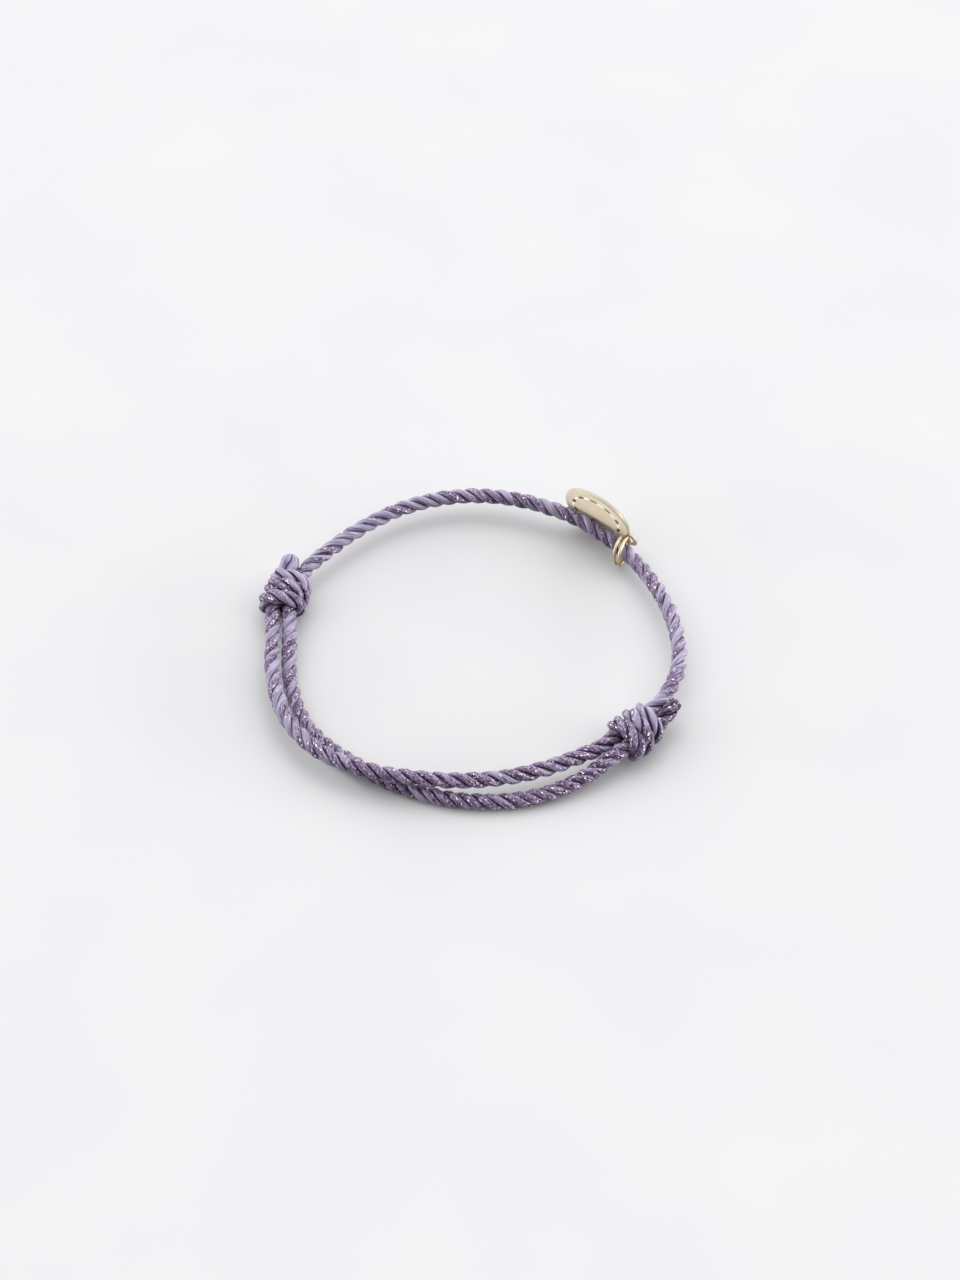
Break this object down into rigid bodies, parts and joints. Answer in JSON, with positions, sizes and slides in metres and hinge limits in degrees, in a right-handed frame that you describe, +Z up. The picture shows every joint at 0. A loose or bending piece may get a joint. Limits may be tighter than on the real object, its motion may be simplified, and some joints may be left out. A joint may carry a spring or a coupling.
{
  "type": "cord bracelet",
  "caption": "Adjustable bracelet of twisted cord with sliding barrel knots and a round metal tag on small rings, lying closed in a loop.",
  "frame": {"origin": "on the table under the middle of the bracelet's box", "axes": "+Z up from the table, +X along the longer way across the loop with the tag's side at +X, +Y towards the back strand, away from the two front strands"},
  "size_m": [0.0653, 0.0608, 0.0115],
  "materials": {
    "cord": "twisted cord of one smooth grey-lavender ply and two mauve plies with metallic glitter",
    "cord_end": "the same cord, cut and singed dark at its end",
    "metal": "pale gold plate, satin face and bright edges"
  },
  "bodies": {
    "root": {"back_strand": "cord", "front_strand_over": "cord", "front_strand_under": "cord", "left_knot": "cord", "right_knot": "cord", "left_tail": "cord", "right_tail": "cord_end", "ring_near": "metal", "ring_far": "metal", "tag": "metal"}
  },
  "joints": []
}
